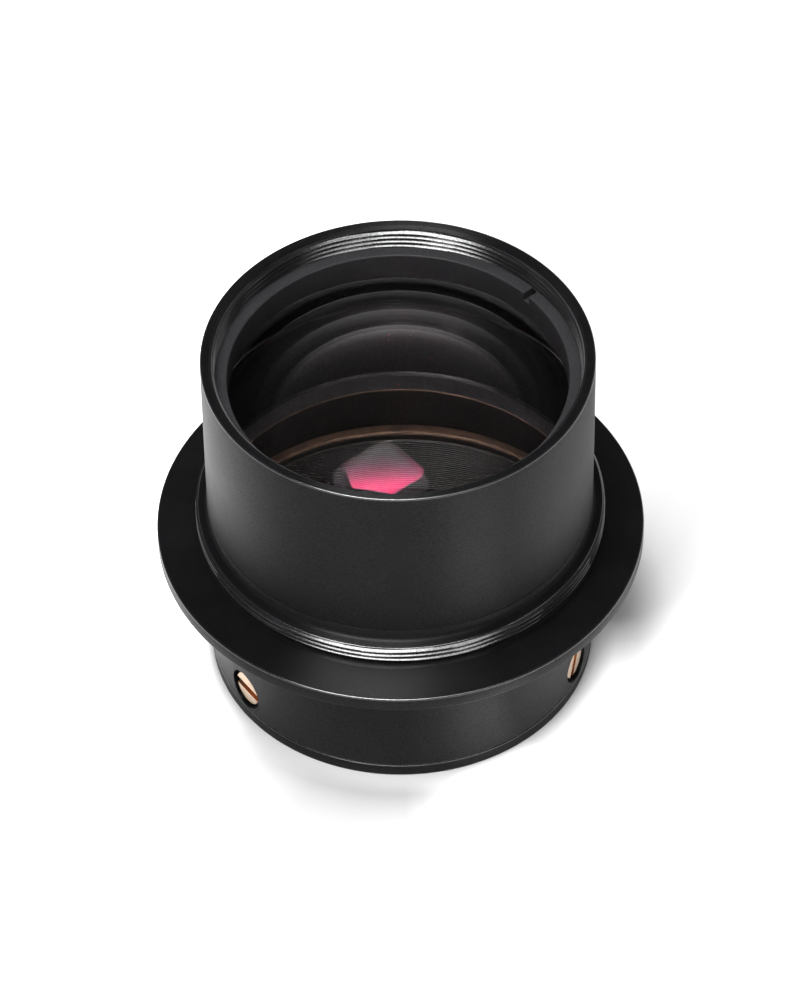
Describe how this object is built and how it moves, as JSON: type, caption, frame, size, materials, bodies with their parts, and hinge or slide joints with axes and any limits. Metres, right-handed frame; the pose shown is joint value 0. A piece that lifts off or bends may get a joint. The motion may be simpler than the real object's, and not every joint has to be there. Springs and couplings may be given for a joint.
{
  "type": "barlow lens",
  "caption": "Push-fit barlow lens: barrel with filter thread and large coated front element, flange with mounting thread, and a turning adapter ring locked by brass grub screws.",
  "frame": {"origin": "centre of the adapter ring's free face, on the optical axis", "axes": "+Z along the optical axis, out of the barrel's mouth; -Y towards the side that lies between the left and right grub screws; +X to the right of it"},
  "size_m": [0.0644, 0.0644, 0.0526],
  "materials": {
    "anodised_black": "satin black anodised, turned",
    "anodised_ring": "fine bead-blasted black anodised",
    "matt_black_inside": "matt black anodised, grooved where it baffles light",
    "coated_glass": "polished, with a violet anti-reflection coating",
    "rear_coated_glass": "polished, with a red anti-reflection coating",
    "blackened_brass": "chemically darkened, satin",
    "screw_brass": "turned, bright",
    "seal_rubber": "matt",
    "slip_plastic": "waxy"
  },
  "bodies": {
    "lens_body": {"nosepiece_barrel": "anodised_black", "front_retaining_ring": "anodised_ring", "front_flint_lens": "coated_glass", "front_lens_spacer": "matt_black_inside", "front_crown_lens": "coated_glass", "front_seat_gasket": "seal_rubber", "front_spacer_ring": "anodised_black", "flange_body": "anodised_black", "cell_clamp_ring": "anodised_ring", "rear_lens_cell": "matt_black_inside", "cell_shim_ring": "blackened_brass", "rear_retaining_ring": "matt_black_inside", "rear_crown_lens": "rear_coated_glass", "rear_lens_spacer": "matt_black_inside", "rear_flint_lens": "rear_coated_glass", "rear_seat_gasket": "seal_rubber", "rear_baffle_ring": "matt_black_inside", "adapter_slip_washer": "slip_plastic"},
    "adapter": {"rear_adapter_ring": "anodised_black"},
    "screw_left": {"grub_screw_left": "screw_brass"},
    "screw_right": {"grub_screw_right": "screw_brass"},
    "screw_back": {"grub_screw_back": "screw_brass"}
  },
  "joints": [
    {"name": "adapter_turn", "type": "hinge", "parent": "lens_body", "child": "adapter", "pos_m": [0, 0, 0.005], "axis": [0, 0, 1], "continuous": true},
    {"name": "screw_left_travel", "type": "slide", "parent": "lens_body", "child": "screw_left", "axis": [-0.8192, -0.5736, 0], "range_m": [0, 0.0012]},
    {"name": "screw_right_travel", "type": "slide", "parent": "lens_body", "child": "screw_right", "axis": [0.9063, -0.4226, 0], "range_m": [0, 0.0012]},
    {"name": "screw_back_travel", "type": "slide", "parent": "lens_body", "child": "screw_back", "axis": [-0.0872, 0.9962, 0], "range_m": [0, 0.0012]}
  ]
}
